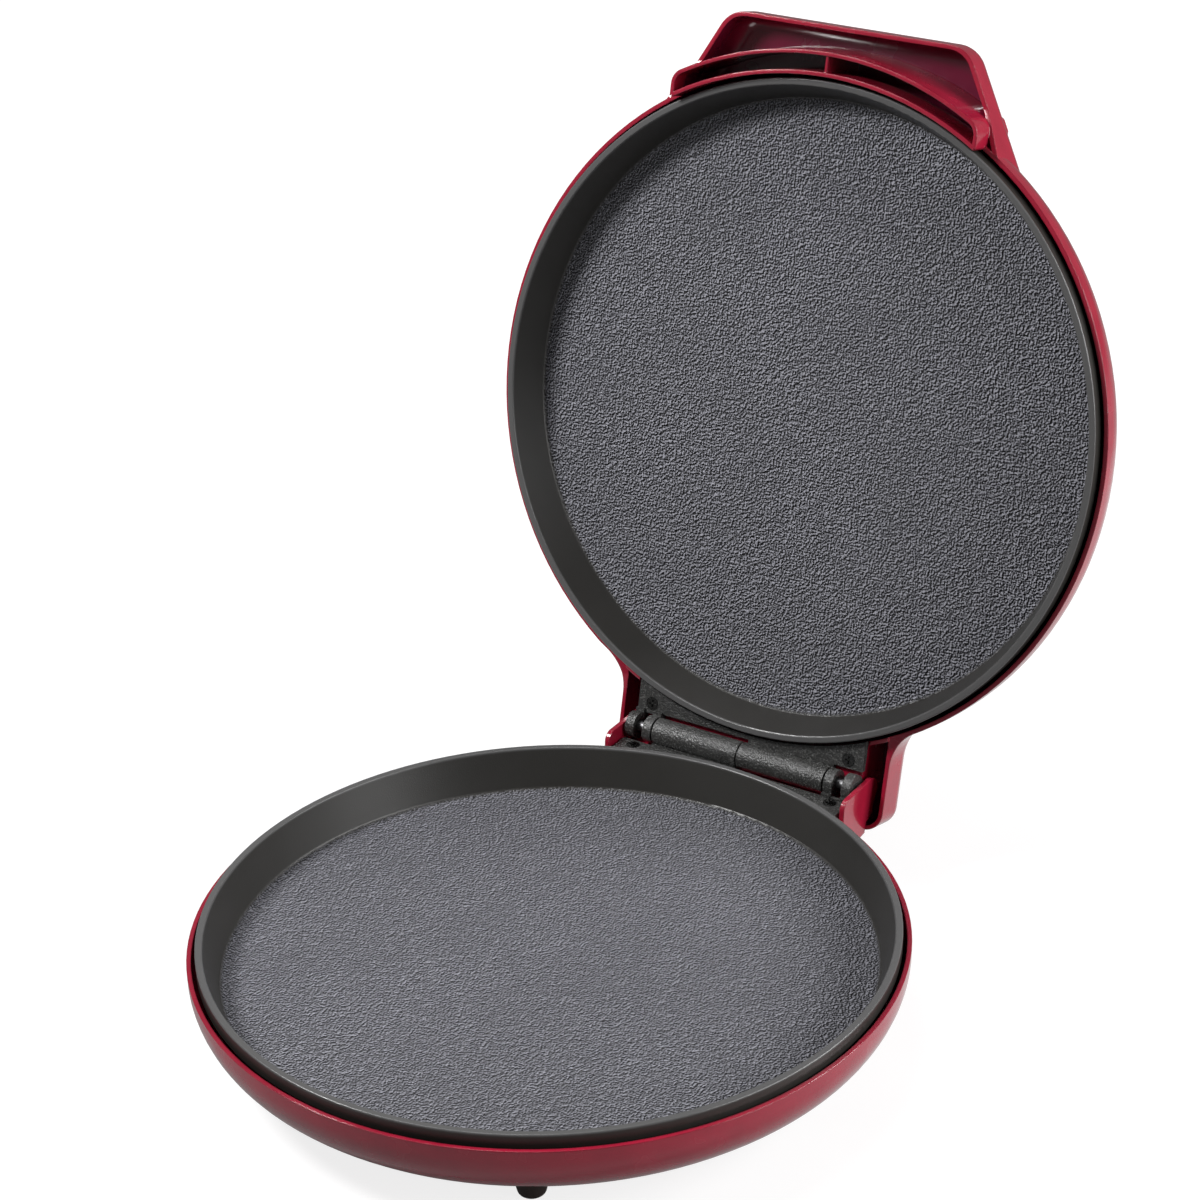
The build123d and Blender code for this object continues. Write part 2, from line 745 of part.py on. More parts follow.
def lid_casing():
    shell = lid_form(0.0, rim_proud) - lid_form(casing_wall, rim_proud - 1)
    # The lips of the nose and the lug lie further back than the bowl's edge and slope down to meet it.
    front_cut = [(-far, 0), (-far, nose_lip), (-lip_slope_start, nose_lip), (-lip_slope_end, rim_proud),
                 (-lip_slope_end, 0)]
    rear_cut = [(far, 0), (far, lug_lip), (lug_slope_start, lug_lip), (lug_slope_end, rim_proud),
                (lug_slope_end, 0)]
    shell -= side_prism(front_cut, -far, far)
    shell -= side_prism(rear_cut, -far, far)
    # Walls between the bowl and its nose and lug, with the air channel in front of the front one
    ring = inset_bowl(wall_relief, -channel_lip) - inset_bowl(casing_wall - wall_relief, -channel_lip - 1)
    front_core = inside_lid(nose_plan(), nose_top)
    front_wall = ring & front_core
    for side in (-1, 1):
        x0, x1 = sorted((side * (channel_half_width - channel_wall / 2), side * far))
        front_wall -= block(x0, x1, -far, 0, -10, rim_proud)
    rear_wall = ring & inside_lid(lug_plan(), lug_top)
    rear_wall -= block(-far, far, 0, far, -10, rim_proud)
    channel = channel_walls(nose_top + channel_lip)
    low_part = channel & block(-far, far, -far, -plan_root, -20, nose_lip)
    shell += front_wall
    shell += rear_wall
    shell += low_part + (channel & front_core)
    # Box round the bracket's screws, open to the inside of the bowl
    box_back = hinge_y + box_rear
    shell += block(-box_half, box_half, hinge_y - box_front, box_back, shelf_depth, lug_top - wall_overlap)
    room = box_half - box_side
    shell -= block(-room, room, plan_root, box_back - box_web, shelf_depth + lug_skin, lug_top - casing_wall)
    shell -= inset_bowl(casing_wall, rim_proud) & block(-room, room, plan_root, far, 0, far)
    shell -= hinge_pocket()
    shell += bracket_bosses()
    shell -= bracket_pilots()
    shell -= rod(lead_hole, 8, element_tail_x, hinge_y, shelf_depth - 1)
    # Seat for the cover, and holes for screws and lamps
    shell += rod(cover_seat_radius + 2, casing_wall, 0, 0, cover_skin)
    shell -= rod(cover_seat_radius, 10, 0, 0, cover_floor)
    for x, y in post_places():
        shell -= rod(post_screw_radius + 0.3, 10, x, y, casing_floor - 5)
    for x in (-lamp_x, lamp_x):
        shell -= rod(lamp_lens_radius + 0.1, 10, x, -lamp_y, casing_floor - 2)
    return shell


def lamp_lens(x):
    """Domed lens that snaps into the lid's top."""
    low = casing_floor - 0.2
    high = casing_depth + 0.4
    outline = make_face([
        Line((0, low), (lamp_lens_radius, low)),
        Line((lamp_lens_radius, low), (lamp_lens_radius, high)),
        crown(lamp_lens_radius, high, lamp_crown),
        Line((0, high + lamp_crown), (0, low)),
    ])
    return Pos(x, -lamp_y, 0) * revolve(Plane.XZ * outline, Axis.Z)


def pilot_lamps():
    """Lamp bodies just under the lenses."""
    top = casing_floor - 0.2 - seat_gap
    places = (-lamp_x, lamp_x)
    return Compound(children=[rod(lamp_body_radius, lamp_body_height, x, -lamp_y, top - lamp_body_height)
                              for x in places])


def lid_cover():
    """Crowned disc that snaps into the lid's recess over the plate's screws."""
    low = cover_floor
    rim = low + cover_thickness
    edge = cover_radius - cover_edge_round
    inner = cover_radius - cover_seat
    outline = make_face([
        Line((0, low + cover_pocket), (inner, low + cover_pocket)),
        Line((inner, low + cover_pocket), (inner, low)),
        Line((inner, low), (cover_radius, low)),
        Line((cover_radius, low), (cover_radius, rim - cover_edge_round)),
        Line((cover_radius, rim - cover_edge_round), (edge, rim)),
        crown(edge, rim, cover_crown),
        Line((0, rim + cover_crown), (0, low + cover_pocket)),
    ])
    return revolve(Plane.XZ * outline, Axis.Z)


# Leads inside the casings and through the hinge
def lead(points, bend, radius):
    """A round lead along straight runs joined by bends."""
    path = FilletPolyline(*points, radius=bend) if len(points) > 2 else Line(*points)
    section = Plane(origin=path @ 0, z_dir=path % 0) * Circle(radius)
    return sweep(section, path=path)


def sleeve_lead(side, points):
    """The sleeve from the middle of one barrel, along it and in through the shelf, then by its points."""
    x = side * element_tail_x
    start = [(side * 0.3, hinge_y, axis_depth), (x, hinge_y, axis_depth)]
    return lead(start + points, sleeve_bend, sleeve_radius)


def core_lead(points):
    return lead(points, core_bend / 2, core_radius)


def base_leads():
    x = -element_tail_x
    rear = block_y + block_length / 2 + 0.05
    front = block_y - block_length / 2 - 0.05
    level = casing_floor - block_height / 2
    bend_y = hinge_y - 29.0
    split_y = hinge_y - 25.6
    sleeve = sleeve_lead(-1, [(x, hinge_y, 14), (x, hinge_y - 13.5, 20.5), (x + 1, split_y + 0.1, 26.5)])
    first_end = -block_width / 3
    cores = [
        core_lead([(x + 0.25, split_y, 26.55), (x + 0.25, bend_y, 28.0), (first_end, rear + 3.45, level),
                   (first_end, rear, level)]),
        core_lead([(x + 1.75, split_y, 26.55), (x + 3.0, bend_y + 1.5, 27.0), (0, bend_y, 28.5),
                   (0, rear + 2.95, level), (0, rear, level)]),
    ]
    tab = plate_back + 0.1 + thermostat_height - 0.45
    for x in (-thermostat_lead_x + 1.0, thermostat_lead_x - 1.0):
        cores.append(core_lead([(x, 0, tab), (x, 0, lead_depth), (x, front, lead_depth)]))
    return Compound(children=[sleeve] + cores)


def lid_leads():
    x = element_tail_x
    pin_end = element_tail_end + cold_pin_length + 0.05
    sleeve_end = hinge_y - 21.5
    cross = pin_end + 11.95
    sleeve = sleeve_lead(1, [(x, hinge_y, 16), (x, hinge_y - 11.5, element_depth),
                             (x, sleeve_end, element_depth)])
    start = sleeve_end - 0.05
    near_x = x + core_spacing
    other_x = x - core_spacing
    near = lead([(near_x, start, element_depth), (near_x, pin_end, element_depth)], core_bend, core_radius)
    other = lead([(other_x, start, element_depth), (other_x, cross, element_depth),
                  (-x, cross, element_depth), (-x, pin_end, element_depth)], core_bend, core_radius)
    lamps = []
    lamp_start = -lamp_y + lamp_body_radius + 0.1
    lamp_end = element_depth + core_radius + 0.05
    for lamp in (-lamp_x, lamp_x):
        points = [(lamp, lamp_start, lead_depth), (lamp, cross, lead_depth), (lamp, cross, lamp_end)]
        lamps.append(lead(points, core_bend / 2, core_radius * 0.7))
    return Compound(children=[sleeve, near, other] + lamps)


def save(shape, node):
    export_step(shape, "parts/" + node + ".step")


def build():
    os.makedirs("parts", exist_ok=True)
    element = heating_element()
    shield = heat_shield()
    screws = shield_screws()
    bracket = hinge_bracket()
    nodes = {
        "base_casing": in_base(base_casing()),
        "base_feet": in_base(base_feet()),
        "lower_plate": in_base(cooking_plate(casing_floor)),
        "lower_plate_screws": in_base(post_screws(casing_depth)),
        "lower_element": in_base(element),
        "lower_heat_shield": in_base(shield),
        "lower_shield_screws": in_base(screws),
        "thermostat": in_base(thermostat()),
        "thermostat_strap": in_base(thermostat_strap()),
        "thermal_fuse": in_base(thermal_fuse()),
        "terminal_block": in_base(terminal_block()),
        "terminal_screws": in_base(terminal_screws()),
        "cord_gland": in_base(cord_gland()),
        "base_hinge_bracket": at_hinge(bracket),
        "base_bracket_screws": at_hinge(bracket_screws()),
        "hinge_pins": at_hinge(hinge_pins()),
        "base_leads": in_base(base_leads()),
        "lid_casing": in_lid(lid_casing()),
        "lid_cover": in_lid(lid_cover()),
        "upper_plate": in_lid(cooking_plate(cover_skin)),
        "upper_plate_screws": in_lid(post_screws(cover_floor)),
        "upper_element": in_lid(element),
        "upper_heat_shield": in_lid(shield),
        "upper_shield_screws": in_lid(screws),
        "lid_hinge_bracket": at_hinge_lid(bracket),
        "lid_bracket_screws": at_hinge_lid(bracket_screws()),
        "power_lamp_lens": in_lid(lamp_lens(-lamp_x)),
        "ready_lamp_lens": in_lid(lamp_lens(lamp_x)),
        "pilot_lamps": in_lid(pilot_lamps()),
        "lid_leads": in_lid(lid_leads()),
    }
    boxes = [shape.bounding_box() for shape in nodes.values()]
    middle = round((min(box.min.Y for box in boxes) + max(box.max.Y for box in boxes)) / 2, 1)
    for node, shape in nodes.items():
        save(Pos(0, -middle, 0) * shape, node)


build()
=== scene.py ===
import math

import bpy
from mathutils import Matrix, Vector

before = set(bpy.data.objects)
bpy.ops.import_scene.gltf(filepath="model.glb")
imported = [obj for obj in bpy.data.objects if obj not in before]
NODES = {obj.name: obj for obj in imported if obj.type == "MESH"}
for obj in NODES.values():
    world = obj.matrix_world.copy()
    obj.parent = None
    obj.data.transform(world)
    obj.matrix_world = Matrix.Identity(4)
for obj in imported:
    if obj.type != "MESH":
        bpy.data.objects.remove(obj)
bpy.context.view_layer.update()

# The two halves' own axes at rest: Y leads from the front to the hinge, and depth from a pan's rim into it.
# Lengths are metres, in the frame's coordinates.
SIDEWAYS = Vector((1.0, 0.0, 0.0))
BASE_Y = Vector((0.0, 1.0, 0.0))
BASE_DEPTH = Vector((0.0, 0.0, -1.0))
OPEN_TURN = math.radians(104.6)
LID_Y = Vector((0.0, math.cos(OPEN_TURN), -math.sin(OPEN_TURN)))
LID_DEPTH = Vector((0.0, math.sin(OPEN_TURN), math.cos(OPEN_TURN)))

HINGE = Vector((0.0, 0.1091, 0.0503))
PAN_CENTRE = Vector((0.0, -0.0624, 0.050))
STOP_GAP = 0.0003
LID_ORIGIN = HINGE - LID_Y * (HINGE.y - PAN_CENTRE.y) + LID_DEPTH * STOP_GAP

# The lid cover's crown: depth of its edge and of its apex, and its radius
COVER_EDGE = 0.0384
COVER_APEX = 0.0396
COVER_REACH = 0.1072
CROWN_BLEND = 0.00006

# A point in the lid's hollow nose that the faces of the inner skin look toward, and the depth where that skin
# begins; that skin gets painted shade
NOSE_FORWARD = 0.164
NOSE_DEEP = 0.015
NOSE_HOLLOW = LID_ORIGIN - LID_Y * NOSE_FORWARD + LID_DEPTH * NOSE_DEEP
INNER_FROM = 0.003
INNER_FULL = 0.006
FACING_BLEND = 0.03

# Lacquer
BURGUNDY = (0.315, 0.0095, 0.031)
COVER_BURGUNDY = (0.30, 0.009, 0.029)
# Darker plum painted on the inner skin of the lid's nose hollow as its shade
INNER_PAINTED_SHADE = (0.120, 0.006, 0.026)
EDGE_ROUND = 0.0010
FLOW_SIZE = 0.012
FLOW_DEPTH = 0.00006
SPECK_SIZE = 0.0007

# Pans
FLOOR_RADIUS = 0.1504
FLOOR_BLEND = 0.002
PEBBLE = 0.00098
PEBBLE_SHIFT = 0.55
PEBBLE_CONTRAST = 2.6
PEBBLE_RELIEF = 0.0015
# Dark and light ends of the painted shade and light on the pebbles' flanks
PEBBLE_PAINTED_SHADE = (0.004, 0.004, 0.005)
PEBBLE_PAINTED_LIGHT = (0.380, 0.380, 0.428)
PEBBLE_HAZE = (0.105, 0.105, 0.117)
SATIN_SIZE = 0.0006
SATIN_RELIEF = 0.035
CLOUD_SIZE = 0.06
WALL_DARK = (0.022, 0.0208, 0.0185)
WALL_LIGHT = (0.028, 0.0265, 0.024)
# Lighter grey painted on the rim edge as its highlight, and the rim edge's smoother polish
RIM_PAINTED_HIGHLIGHT = (0.095, 0.094, 0.094)
RIM_POLISH = 0.12
# Directions along each floor toward the side on which each pebble is painted lighter: painted light and shade
LOWER_PAINTED_LIGHT = Vector((-0.8, 0.6, 0.0))
UPPER_PAINTED_LIGHT = Vector((-0.8, 0.0, 0.0)) - LID_Y * 0.6

# Most of a noise's values lie between these
NOISE_LOW = 0.3
NOISE_HIGH = 0.7

# Camera, at the photograph's place and lens
CAMERA_PLACE = Vector((0.7079, -1.0747, 0.8534))
CAMERA_YAW = 0.587727
CAMERA_PITCH = 0.478457
CAMERA_ROLL = -0.031589
CAMERA_LENS = 97.06
CAMERA_SENSOR = 36.0
CAMERA_NEAR = 0.05
CAMERA_FAR = 60.0

# Floor and world: how white each shows to the camera, and how bright in reflections
FLOOR_HALF = 6.0
PAPER_SIZE = 0.05
PAPER_TONES = ((0.245,) * 3, (0.255,) * 3)
WHITE_FROM = 0.45
WHITE_TO = 1.5
WHITE_NEAR = 0.82
WHITE_FAR = 0.97
POOL_CENTRE = (0.2, 0.3, 0.0)
POOL_FROM = 0.25
POOL_TO = 0.55
POOL_BRIGHT = 0.5
POOL_DIM = 0.08
WORLD_LIGHT = 0.12
WORLD_LIFTS = (("Is Glossy Ray", 0.15), ("Is Transmission Ray", 1.0), ("Is Camera Ray", 1.0))

# Lamps: name, place, target, width, height and watts
LAMPS = (
    ("key_softbox", (-0.74, -0.52, 1.07), (0.0, 0.15, 0.25), 0.32, 0.32, 17.0),
    ("right_softbox", (1.9, 0.1, 0.9), (0.0, 0.1, 0.2), 0.9, 1.2, 22.0),
    ("rear_softbox", (1.5, 0.95, 1.0), (0.0, 0.1, 0.2), 0.7, 0.9, 26.0),
    ("top_softbox", (-0.5, 0.2, 2.1), (0.0, 0.0, 0.1), 0.7, 0.7, 9.0),
)


def place_camera():
    yaw, pitch, roll = CAMERA_YAW, CAMERA_PITCH, CAMERA_ROLL
    back = Vector((math.sin(yaw) * math.cos(pitch), -math.cos(yaw) * math.cos(pitch), math.sin(pitch)))
    right = Vector((math.cos(yaw), math.sin(yaw), 0.0))
    up = back.cross(right)
    across = right * math.cos(roll) + up * math.sin(roll)
    upright = up * math.cos(roll) - right * math.sin(roll)
    data = bpy.data.cameras.new("camera")
    data.sensor_width = CAMERA_SENSOR
    data.sensor_height = CAMERA_SENSOR
    data.lens = CAMERA_LENS
    data.clip_start = CAMERA_NEAR
    data.clip_end = CAMERA_FAR
    camera = bpy.data.objects.new("camera", data)
    turn = Matrix((across, upright, back)).transposed().to_4x4()
    camera.matrix_world = Matrix.Translation(CAMERA_PLACE) @ turn
    bpy.context.collection.objects.link(camera)
    bpy.context.scene.camera = camera


class Graph:
    """A material and the few kinds of node that the finishes are built from."""

    def __init__(self, name):
        self.material = bpy.data.materials.new(name)
        self.material.use_nodes = True
        self.tree = self.material.node_tree
        self.tree.nodes.clear()
        self.out = self.add("ShaderNodeOutputMaterial")
        coords = self.add("ShaderNodeTexCoord")
        self.place = coords.outputs["Object"]
        self.outward = coords.outputs["Normal"]

    def add(self, kind, inputs=None, **settings):
        node = self.tree.nodes.new(kind)
        for key, value in settings.items():
            setattr(node, key, value)
        for key, value in (inputs or {}).items():
            if isinstance(value, bpy.types.NodeSocket):
                self.tree.links.new(value, node.inputs[key])
            else:
                node.inputs[key].default_value = tuple(value) if isinstance(value, Vector) else value
        return node

    def maths(self, operation, a, b=0.0, clamp=False):
        return self.add("ShaderNodeMath", {0: a, 1: b}, operation=operation, use_clamp=clamp).outputs[0]

    def vector(self, operation, *parts):
        """A vector made from one or two vectors."""
        return self.add("ShaderNodeVectorMath", dict(enumerate(parts)), operation=operation).outputs[0]

    def measure(self, operation, *parts):
        """A number made from one or two vectors."""
        node = self.add("ShaderNodeVectorMath", dict(enumerate(parts)), operation=operation)
        return node.outputs["Value"]

    def along(self, direction, origin):
        """How far the shaded point lies from origin along direction."""
        return self.measure("DOT_PRODUCT", self.vector("SUBTRACT", self.place, origin), direction)

    def blend_range(self, value, low, high, to_low=0.0, to_high=1.0):
        node = self.add(
            "ShaderNodeMapRange",
            {"Value": value, "From Min": low, "From Max": high, "To Min": to_low, "To Max": to_high},
            interpolation_type="SMOOTHSTEP",
        )
        return node.outputs["Result"]

    def noise(self, size, detail=2.0, rough=0.5, stretch=None, shift=None):
        """Noise whose features are about size metres across."""
        vector = self.place
        if shift is not None:
            vector = self.vector("ADD", vector, shift)
        if stretch is not None:
            vector = self.add("ShaderNodeMapping", {"Vector": vector, "Scale": stretch}).outputs[0]
        settings = {"Vector": vector, "Scale": 1.0 / size, "Detail": detail, "Roughness": rough}
        return self.add("ShaderNodeTexNoise", settings).outputs["Fac"]

    def two_tones(self, fac, low, high, start=0.35, end=0.65):
        node = self.add("ShaderNodeValToRGB", {"Fac": fac})
        ramp = node.color_ramp
        ramp.elements[0].position = start
        ramp.elements[0].color = (*low, 1.0)
        ramp.elements[1].position = end
        ramp.elements[1].color = (*high, 1.0)
        return node.outputs["Color"]

    def mix_colour(self, fac, a, b):
        node = self.add("ShaderNodeMix", data_type="RGBA")
        for socket, value in ((node.inputs[0], fac), (node.inputs[6], a), (node.inputs[7], b)):
            if isinstance(value, bpy.types.NodeSocket):
                self.tree.links.new(value, socket)
            else:
                socket.default_value = value if isinstance(value, float) else (*value, 1.0)
        return node.outputs[2]

    def bump(self, height, distance, under=None):
        inputs = {"Height": height, "Distance": distance, "Strength": 1.0}
        if under is not None:
            inputs["Normal"] = under
        return self.add("ShaderNodeBump", inputs).outputs["Normal"]

    def crowned(self, normal):
        """The normal, but that of one even sphere on the lid cover's crown, whose long facets shade unevenly."""
        rise = COVER_APEX - COVER_EDGE
        sphere = (COVER_REACH ** 2 + rise ** 2) / (2 * rise)
        centre = LID_ORIGIN + LID_DEPTH * (COVER_APEX - sphere)
        turned = self.add(
            "ShaderNodeVectorTransform",
            {0: self.vector("SUBTRACT", self.place, centre)},
            vector_type="NORMAL",
            convert_from="OBJECT",
            convert_to="WORLD",
        ).outputs[0]
        deep = self.along(LID_DEPTH, LID_ORIGIN)
        mix = self.add("ShaderNodeMix", data_type="VECTOR")
        self.tree.links.new(self.blend_range(deep, COVER_EDGE, COVER_EDGE + CROWN_BLEND), mix.inputs[0])
        self.tree.links.new(normal, mix.inputs[4])
        self.tree.links.new(self.vector("NORMALIZE", turned), mix.inputs[5])
        return mix.outputs[1]

    def inner_shade_mask(self):
        """1 on the lid casing's inner skin, which looks toward its hollow from below the lips, and 0 outside: where
        the hollow's shade is painted.
        """
        away = self.vector("NORMALIZE", self.vector("SUBTRACT", self.place, NOSE_HOLLOW))
        turn = self.measure("DOT_PRODUCT", away, self.outward)
        below = self.blend_range(self.along(LID_DEPTH, LID_ORIGIN), INNER_FROM, INNER_FULL)
        return self.maths("MULTIPLY", self.blend_range(turn, -FACING_BLEND, 0.0, 1.0, 0.0), below)

    def principled(self, **inputs):
        named = {key.replace("_", " "): value for key, value in inputs.items()}
        shader = self.add("ShaderNodeBsdfPrincipled", named)
        self.tree.links.new(shader.outputs[0], self.out.inputs["Surface"])
        return self.material


def shade(colour, factor):
    return tuple(min(1.0, part * factor) for part in colour)


def moulded(name, colour, rough, grain, depth, glint_speckle=0.0, **extra):
    """Moulded plastic or rubber: a fine grain, slight mottling, uneven polish and, where asked, lighter specks
    painted on the grain as glints.
    """
    patch_size, mottle = 0.018, 0.12
    g = Graph(name)
    patches = g.noise(patch_size, detail=3.0)
    grains = g.noise(grain, detail=2.0, rough=0.6)
    tone = g.two_tones(patches, shade(colour, 1 - mottle), shade(colour, 1 + mottle))
    # Lighter specks painted on the grain's peaks as glints
    if glint_speckle:
        tone = g.mix_colour(g.blend_range(grains, 0.5, 0.72), tone, shade(colour, 1 + glint_speckle))
    return g.principled(
        Base_Color=tone,
        Roughness=g.blend_range(patches, NOISE_LOW, NOISE_HIGH, rough * (1 - mottle), rough * (1 + mottle)),
        Normal=g.bump(grains, depth),
        **extra,
    )


def lacquered(name, colour, inner=False, crown=False):
    """Glossy burgundy moulding: a clear bright skin over a deep colour, with faint flow ripples.

    inner gives the inner skin a darker plum as painted shade in the nose hollow, and crown evens out the lid cover's
    shading."""
    g = Graph(name)
    flow = g.noise(FLOW_SIZE, detail=2.0, rough=0.4)
    specks = g.noise(SPECK_SIZE, detail=1.0)
    tone = g.mix_colour(
        g.blend_range(specks, 0.35, 0.65, 0.0, 0.35),
        g.two_tones(flow, shade(colour, 0.93), shade(colour, 1.06)),
        shade(colour, 1.16),
    )
    # Painted shade: the inner skin of the nose hollow turns a darker plum
    if inner:
        tone = g.mix_colour(g.inner_shade_mask(), tone, INNER_PAINTED_SHADE)
    rounded = g.add("ShaderNodeBevel", {"Radius": EDGE_ROUND}, samples=4).outputs["Normal"]
    if crown:
        rounded = g.crowned(rounded)
    return g.principled(
        Base_Color=tone,
        Roughness=g.blend_range(flow, NOISE_LOW, NOISE_HIGH, 0.2, 0.28),
        Specular_IOR_Level=0.3,
        Coat_Weight=0.8,
        Coat_Roughness=0.04,
        Coat_IOR=1.5,
        Normal=g.bump(flow, FLOW_DEPTH, under=rounded),
        Coat_Normal=rounded,
    )


def metal(name, colour, rough, size, streak=(1.0, 1.0, 1.0), spread=0.1):
    """Plain or drawn metal with streaks along its working direction."""
    patch_size, line_depth, uneven = 0.009, 0.00001, 0.25
    g = Graph(name)
    lines = g.noise(size, detail=4.0, rough=0.65, stretch=streak)
    dull = g.noise(patch_size, detail=3.0)
    return g.principled(
        Base_Color=g.two_tones(dull, shade(colour, 1 - spread), shade(colour, 1 + spread)),
        Metallic=1.0,
        Roughness=g.blend_range(lines, 0.25, 0.75, rough * (1 - uneven), rough * (1 + uneven)),
        Normal=g.bump(lines, line_depth),
    )


def non_stick(name, along, depth_dir, origin, painted_light_from):
    """Cast plate: a pebbled coating on the floor with painted light and shade on each pebble, satin walls and a
    smoother rim edge painted lighter as its highlight.

    along, depth_dir and origin give the plate's own axes, so that the floor is found in any pose.
    The last argument points along the floor at the side on which each pebble is painted lighter, as light and shade
    painted on its flanks."""
    g = Graph(name)
    x = g.along(SIDEWAYS, origin)
    y = g.along(along, origin)
    deep = g.along(depth_dir, origin)
    radius = g.maths("SQRT", g.maths("ADD", g.maths("MULTIPLY", x, x), g.maths("MULTIPLY", y, y)))
    on_floor = g.blend_range(radius, FLOOR_RADIUS - FLOOR_BLEND, FLOOR_RADIUS, 1.0, 0.0)
    rim_edge = g.blend_range(deep, 0.0001, 0.0014, 1.0, 0.0)

    pebbles = g.noise(PEBBLE, detail=0.6, rough=0.45)
    beyond = g.noise(PEBBLE, detail=0.6, rough=0.45, shift=painted_light_from * PEBBLE * PEBBLE_SHIFT)
    # Painted light and shade on the pebbles' flanks: the noise less its copy shifted toward the painted light
    painted_flank_shade = g.maths("SUBTRACT", pebbles, beyond)
    clouds = g.noise(CLOUD_SIZE, detail=3.0)
    painted_lightness = g.maths("ADD", g.maths("MULTIPLY", painted_flank_shade, PEBBLE_CONTRAST), 0.5, clamp=True)
    pebble_tone = g.two_tones(painted_lightness, PEBBLE_PAINTED_SHADE, PEBBLE_PAINTED_LIGHT, 0.17, 0.90)
    pebble_tone = g.mix_colour(g.blend_range(clouds, 0.35, 0.65, 0.0, 0.15), pebble_tone, PEBBLE_HAZE)
    # The rim edge is painted a lighter grey as its highlight
    wall_tone = g.mix_colour(rim_edge, g.two_tones(clouds, WALL_DARK, WALL_LIGHT), RIM_PAINTED_HIGHLIGHT)

    height = g.maths("MULTIPLY", g.blend_range(pebbles, 0.32, 0.68), on_floor)
    satin = g.maths("MULTIPLY", g.noise(SATIN_SIZE, detail=1.0), SATIN_RELIEF)
    dull = g.blend_range(on_floor, 0.0, 1.0, 0.38, 0.34)
    return g.principled(
        Base_Color=g.mix_colour(on_floor, wall_tone, pebble_tone),
        Roughness=g.maths("SUBTRACT", dull, g.maths("MULTIPLY", rim_edge, RIM_POLISH)),
        Specular_IOR_Level=0.5,
        Normal=g.bump(g.maths("ADD", height, satin), PEBBLE_RELIEF),
    )


def lens(name, colour):
    """Clear tinted plastic with a faint swirl."""
    g = Graph(name)
    swirl = g.noise(0.003, detail=2.0)
    return g.principled(
        Base_Color=g.two_tones(swirl, shade(colour, 0.85), shade(colour, 1.1)),
        Roughness=g.blend_range(swirl, NOISE_LOW, NOISE_HIGH, 0.08, 0.16),
        Transmission_Weight=0.35,
        IOR=1.49,
        Coat_Weight=0.6,
        Coat_Roughness=0.03,
    )


def glass(name):
    g = Graph(name)
    haze = g.noise(0.002, detail=2.0)
    return g.principled(
        Base_Color=g.two_tones(haze, (0.88, 0.88, 0.86), (0.96, 0.96, 0.95)),
        Roughness=g.blend_range(haze, NOISE_LOW, NOISE_HIGH, 0.02, 0.07),
        Transmission_Weight=0.9,
        IOR=1.5,
    )


def dress_nodes():
    red = lacquered("burgundy_lacquer", BURGUNDY)
    hinge = moulded(
        "satin_black_hinge",
        (0.032, 0.032, 0.031),
        rough=0.27,
        grain=0.0009,
        depth=0.0005,
        glint_speckle=3.2,
        Specular_IOR_Level=0.6,
    )
    rubber = moulded("brown_black_rubber", (0.030, 0.018, 0.015), rough=0.55, grain=0.0009, depth=0.00008)
    black_rubber = moulded("black_rubber", (0.017, 0.017, 0.018), rough=0.6, grain=0.0009, depth=0.00008)
    ceramic = moulded("off_white_body", (0.62, 0.58, 0.49), rough=0.5, grain=0.0012, depth=0.00004)
    ivory = moulded("ivory_block", (0.70, 0.67, 0.56), rough=0.42, grain=0.0012, depth=0.00003)
    sleeve = moulded("lead_sleeve", (0.52, 0.49, 0.41), rough=0.7, grain=0.0005, depth=0.0001)
    dark_steel = metal("blackened_screws", (0.10, 0.10, 0.098), rough=0.26, size=0.0009)
    zinc = metal("zinc_screws", (0.52, 0.53, 0.55), rough=0.3, size=0.0009)
    brass = metal("brass_screws", (0.66, 0.50, 0.22), rough=0.28, size=0.0009)
    sheath = metal("heat_tinted_sheath", (0.24, 0.20, 0.17), rough=0.42, size=0.004, spread=0.3)
    sheet = metal("aluminised_sheet", (0.64, 0.65, 0.66), rough=0.4, size=0.004, streak=(1.0, 12.0, 1.0))
    strip = metal("spring_strip", (0.55, 0.56, 0.57), rough=0.3, size=0.003, streak=(1.0, 14.0, 1.0))
    can = metal("fuse_can", (0.66, 0.63, 0.56), rough=0.33, size=0.002)
    ground = metal("ground_pins", (0.16, 0.16, 0.165), rough=0.36, size=0.0006, streak=(0.06, 1.0, 1.0))
    finishes = {
        "base_casing": red,
        "lid_casing": lacquered("burgundy_lid", BURGUNDY, inner=True),
        "lid_cover": lacquered("burgundy_cover", COVER_BURGUNDY, crown=True),
        "base_feet": rubber,
        "cord_gland": black_rubber,
        "lower_plate": non_stick("non_stick_lower", BASE_Y, BASE_DEPTH, PAN_CENTRE, LOWER_PAINTED_LIGHT),
        "upper_plate": non_stick("non_stick_upper", LID_Y, LID_DEPTH, LID_ORIGIN, UPPER_PAINTED_LIGHT),
        "lower_plate_screws": zinc,
        "upper_plate_screws": zinc,
        "lower_shield_screws": zinc,
        "upper_shield_screws": zinc,
        "terminal_screws": brass,
        "base_bracket_screws": dark_steel,
        "lid_bracket_screws": dark_steel,
        "base_hinge_bracket": hinge,
        "lid_hinge_bracket": hinge,
        "hinge_pins": ground,
        "lower_element": sheath,
        "upper_element": sheath,
        "lower_heat_shield": sheet,
        "upper_heat_shield": sheet,
        "thermostat": ceramic,
        "thermostat_strap": strip,
        "thermal_fuse": can,
        "terminal_block": ivory,
        "base_leads": sleeve,
        "lid_leads": sleeve,
        "power_lamp_lens": lens("red_lens", (0.75, 0.03, 0.025)),
        "ready_lamp_lens": lens("green_lens", (0.03, 0.45, 0.10)),
        "pilot_lamps": glass("lamp_glass"),
    }
    for name, finish in finishes.items():
        for material_slot in NODES[name].material_slots:
            material_slot.material = finish


